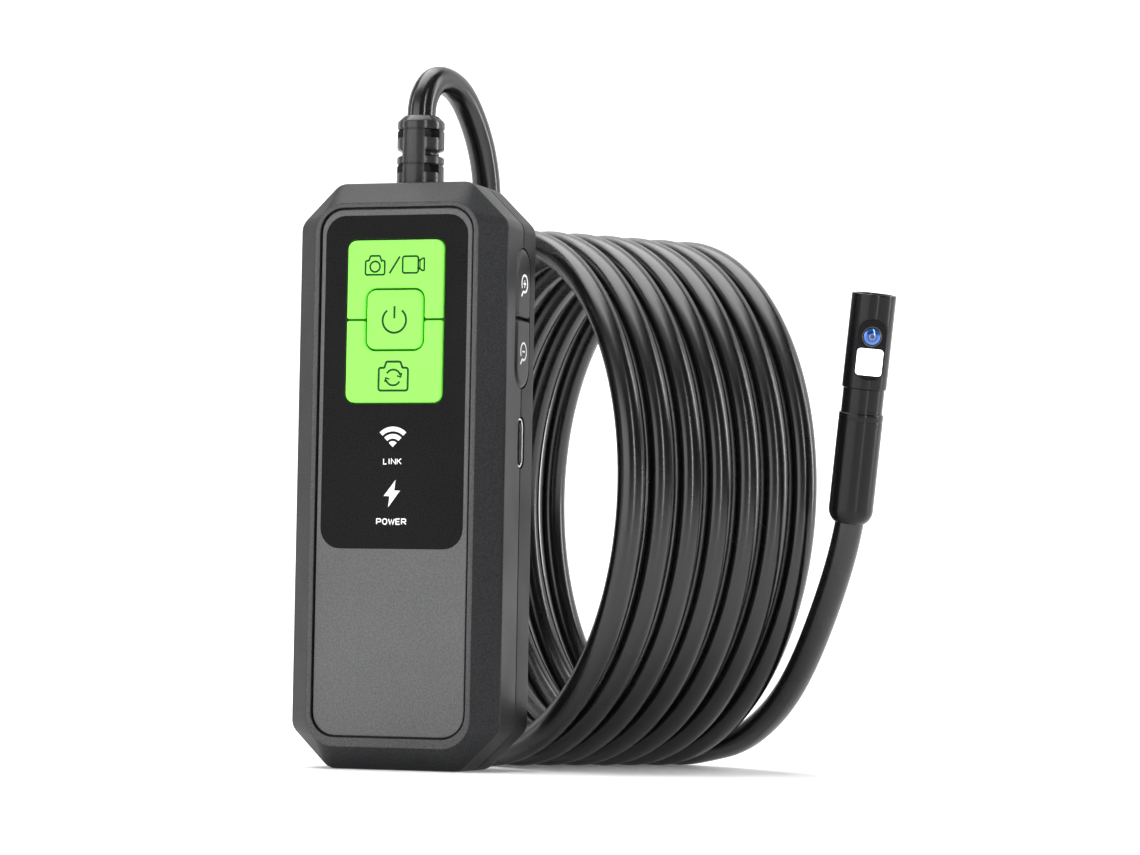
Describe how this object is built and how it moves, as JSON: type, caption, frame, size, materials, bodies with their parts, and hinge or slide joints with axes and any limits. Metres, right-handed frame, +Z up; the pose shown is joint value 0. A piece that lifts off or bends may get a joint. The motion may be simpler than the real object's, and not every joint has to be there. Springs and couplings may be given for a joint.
{
  "type": "inspection camera",
  "caption": "Hand-held inspection camera: beveled control box with green keypad, strain relief, standing coil of semi-rigid cable and a slim two-way camera probe.",
  "frame": {"origin": "centre of the control box's base, on the surface it stands on", "axes": "+Z up along the box towards the strain relief, -Y out of the front face with the keys, +X towards the side with the zoom keys and charging port"},
  "size_m": [0.1213, 0.1069, 0.129],
  "materials": {
    "shell_front": "fine matte grain, charcoal",
    "shell_rear": "fine matte grain, near black",
    "face_plate": "fine matte grain, mid grey",
    "overlay": "satin black film with fine grain",
    "key_green": "satin moulded green",
    "key_black": "satin moulded black",
    "gasket": "soft silicone",
    "switch_body": "moulded",
    "plunger": "moulded",
    "light_guide": "clear",
    "led": "clear cap",
    "board": "solder mask",
    "chip": "moulded package",
    "tinned_metal": "tinned sheet",
    "antenna": "copper foil on film",
    "cell_wrap": "foil pouch",
    "foam": "open foam",
    "wire": "insulated wire",
    "connector": "nylon",
    "port_metal": "plated",
    "tongue": "moulded",
    "screw_steel": "plain steel",
    "relief_rubber": "satin black",
    "core": "inner sheath",
    "cable_jacket": "smooth black jacket with a soft gloss",
    "probe_metal": "gloss black",
    "neck_metal": "gloss black",
    "window_glass": "gloss black glass",
    "lens": "coated lens, blue reflection",
    "lamp": "white diffuser",
    "clear_glass": "clear"
  },
  "bodies": {
    "camera_body": {"front_shell": "shell_front", "rear_shell": "shell_rear", "face_plate": "face_plate", "panel_overlay": "overlay", "key_gasket": "gasket", "front_switches": "switch_body", "side_switches": "switch_body", "light_guides": "light_guide", "status_leds": "led", "main_board": "board", "video_processor": "chip", "radio_module": "tinned_metal", "antenna_strip": "antenna", "battery_cell": "cell_wrap", "battery_pad": "foam", "battery_lead": "wire", "battery_plug": "connector", "charge_port": "port_metal", "charge_port_tongue": "tongue", "data_port": "port_metal", "data_port_tongue": "tongue", "case_screws": "screw_steel", "strain_relief": "relief_rubber", "cable_core": "core", "cable_clamp": "switch_body", "clamp_screws": "screw_steel", "wire_harness": "core", "board_plug": "connector", "cable_lead": "cable_jacket", "cable_coil": "cable_jacket", "cable_tail": "cable_jacket", "probe_barrel": "probe_metal", "probe_wires": "core", "neck_sleeve": "neck_metal", "probe_head": "probe_metal", "camera_board": "board", "side_window": "window_glass", "side_lens": "lens", "side_lamp": "lamp", "tip_board": "board", "front_lens": "lens", "front_lamps": "lamp", "tip_window": "clear_glass"},
    "photo_button": {"photo_key": "key_green", "photo_plunger": "plunger"},
    "power_button": {"power_key": "key_green", "power_plunger": "plunger"},
    "lens_button": {"lens_key": "key_green", "lens_plunger": "plunger"},
    "zoom_in_button": {"zoom_in_key": "key_black", "zoom_in_plunger": "plunger"},
    "zoom_out_button": {"zoom_out_key": "key_black", "zoom_out_plunger": "plunger"}
  },
  "joints": [
    {"name": "photo_press", "type": "slide", "parent": "camera_body", "child": "photo_button", "axis": [0, 1, 0], "range_m": [0, 0.00045], "stiffness_N_per_m": 400, "springref_m": -0.002},
    {"name": "power_press", "type": "slide", "parent": "camera_body", "child": "power_button", "axis": [0, 1, 0], "range_m": [0, 0.00045], "stiffness_N_per_m": 400, "springref_m": -0.002},
    {"name": "lens_press", "type": "slide", "parent": "camera_body", "child": "lens_button", "axis": [0, 1, 0], "range_m": [0, 0.00045], "stiffness_N_per_m": 400, "springref_m": -0.002},
    {"name": "zoom_in_press", "type": "slide", "parent": "camera_body", "child": "zoom_in_button", "axis": [-1, 0, 0], "range_m": [0, 0.00045], "stiffness_N_per_m": 400, "springref_m": -0.002},
    {"name": "zoom_out_press", "type": "slide", "parent": "camera_body", "child": "zoom_out_button", "axis": [-1, 0, 0], "range_m": [0, 0.00045], "stiffness_N_per_m": 400, "springref_m": -0.002}
  ]
}
